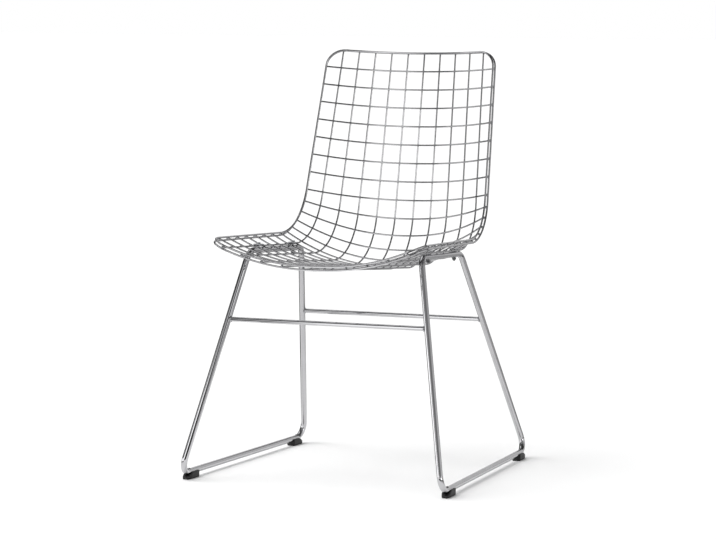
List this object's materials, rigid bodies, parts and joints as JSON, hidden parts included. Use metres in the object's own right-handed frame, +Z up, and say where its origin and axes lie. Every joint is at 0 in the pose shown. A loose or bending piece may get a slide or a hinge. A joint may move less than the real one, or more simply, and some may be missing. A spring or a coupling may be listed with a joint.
{
  "type": "wire mesh chair",
  "caption": "Side chair with a welded wire mesh bucket shell between two rim wires, on two closed sled frames with stretchers and plastic glides.",
  "frame": {"origin": "middle of the chair's box, on the floor", "axes": "+Z up, the sitter faces -Y, +X to the sitter's left"},
  "size_m": [0.555, 0.5545, 0.8196],
  "materials": {
    "mesh_wire": "bright chrome plate",
    "rim_wire": "bright chrome plate",
    "frame_rod": "bright chrome plate",
    "fastener": "zinc plated",
    "glide": "matt black moulded"
  },
  "bodies": {
    "root": {"clamp_front_left": "fastener", "clamp_front_right": "fastener", "clamp_nuts": "fastener", "clamp_rear_left": "fastener", "clamp_rear_right": "fastener", "clamp_screws": "fastener", "cross_wire_01": "mesh_wire", "cross_wire_02": "mesh_wire", "cross_wire_03": "mesh_wire", "cross_wire_04": "mesh_wire", "cross_wire_05": "mesh_wire", "cross_wire_06": "mesh_wire", "cross_wire_07": "mesh_wire", "cross_wire_08": "mesh_wire", "cross_wire_09": "mesh_wire", "cross_wire_10": "mesh_wire", "cross_wire_11": "mesh_wire", "cross_wire_12": "mesh_wire", "cross_wire_13": "mesh_wire", "cross_wire_14": "mesh_wire", "cross_wire_15": "mesh_wire", "cross_wire_16": "mesh_wire", "cross_wire_17": "mesh_wire", "cross_wire_18": "mesh_wire", "cross_wire_19": "mesh_wire", "cross_wire_20": "mesh_wire", "cross_wire_21": "mesh_wire", "glide_front_left": "glide", "glide_front_right": "glide", "glide_rear_left": "glide", "glide_rear_right": "glide", "long_wire_01": "mesh_wire", "long_wire_02": "mesh_wire", "long_wire_03": "mesh_wire", "long_wire_04": "mesh_wire", "long_wire_05": "mesh_wire", "long_wire_06": "mesh_wire", "long_wire_07": "mesh_wire", "long_wire_08": "mesh_wire", "long_wire_09": "mesh_wire", "long_wire_10": "mesh_wire", "rim_back": "rim_wire", "rim_front": "rim_wire", "sled_left": "frame_rod", "sled_right": "frame_rod", "stretcher_front": "frame_rod", "stretcher_rear": "frame_rod"}
  },
  "joints": []
}
